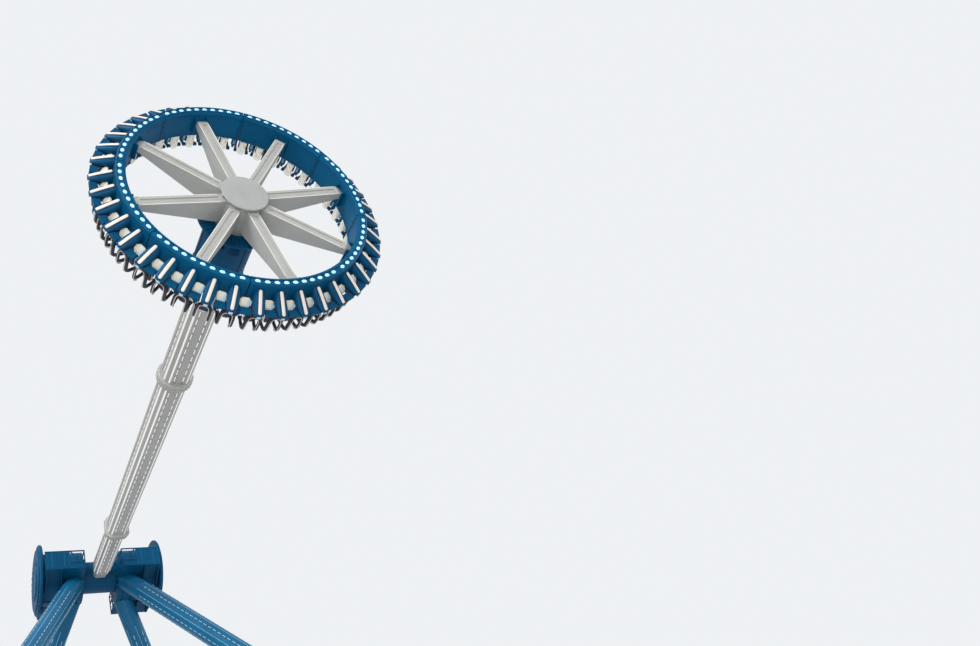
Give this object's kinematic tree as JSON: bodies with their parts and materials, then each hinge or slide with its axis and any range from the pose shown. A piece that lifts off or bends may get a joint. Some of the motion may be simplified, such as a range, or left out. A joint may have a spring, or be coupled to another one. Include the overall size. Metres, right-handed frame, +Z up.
{
  "type": "1:2 scale model of a swinging pendulum ride with a turning ring of seats",
  "caption": "Fairground pendulum ride: four splayed legs, a horizontal swing axle head, a long box arm and a turning ring of outward-facing seats.",
  "frame": {"origin": "on the ground, straight below the middle of the swing axis", "axes": "+X along the swing axis, +Y along the swing, +Z up"},
  "size_m": [17.2766, 25.5091, 17.4598],
  "materials": {
    "leg_blue": "gloss paint",
    "machine_blue": "gloss paint",
    "ring_blue": "gloss paint",
    "arm_grey": "satin paint",
    "spoke_grey": "satin paint",
    "seat_shell": "moulded shell",
    "cushion_navy": "sewn vinyl",
    "restraint_pad": "moulded foam pad"
  },
  "bodies": {
    "structure": {"leg_front_left": "leg_blue", "leg_front_right": "leg_blue", "leg_back_left": "leg_blue", "leg_back_right": "leg_blue", "bearing_housing_left": "machine_blue", "bearing_housing_right": "machine_blue", "drive_drum_left": "machine_blue", "drive_drum_right": "machine_blue", "end_cover_left": "machine_blue", "end_cover_right": "machine_blue", "gallery_front_left": "machine_blue", "gallery_front_right": "machine_blue", "gallery_back_left": "machine_blue", "gallery_back_right": "machine_blue", "railing_front_left": "machine_blue", "railing_front_right": "machine_blue", "railing_back_left": "machine_blue", "railing_back_right": "machine_blue"},
    "pendulum": {"swing_tube": "machine_blue", "arm_root": "arm_grey", "arm_lower": "arm_grey", "lower_collar": "arm_grey", "arm_middle": "arm_grey", "upper_collar": "arm_grey", "arm_upper": "arm_grey", "drive_housing": "machine_blue"},
    "gondola": {"hub": "spoke_grey", "hub_cap": "spoke_grey", "guard_ring": "machine_blue", "spokes": "spoke_grey", "ring_segment_1": "ring_blue", "ring_segment_2": "ring_blue", "ring_segment_3": "ring_blue", "ring_segment_4": "ring_blue", "ring_segment_5": "ring_blue", "ring_segment_6": "ring_blue", "ring_segment_7": "ring_blue", "ring_segment_8": "ring_blue", "seats_1": "seat_shell", "seats_2": "seat_shell", "seats_3": "seat_shell", "seats_4": "seat_shell", "seats_5": "seat_shell", "seats_6": "seat_shell", "seats_7": "seat_shell", "seats_8": "seat_shell", "pan_cushions": "cushion_navy", "back_cushions": "cushion_navy", "shoulder_bars": "restraint_pad", "chest_frames": "restraint_pad"}
  },
  "joints": [
    {"name": "swing", "type": "hinge", "parent": "structure", "child": "pendulum", "pos_m": [0, 0, 16.5], "axis": [1, 0, 0], "range_deg": [-43.5, 196.5]},
    {"name": "turn", "type": "hinge", "parent": "pendulum", "child": "gondola", "pos_m": [0, -14.34246, 13.05668], "axis": [0, 0.9724, 0.2334], "continuous": true}
  ]
}
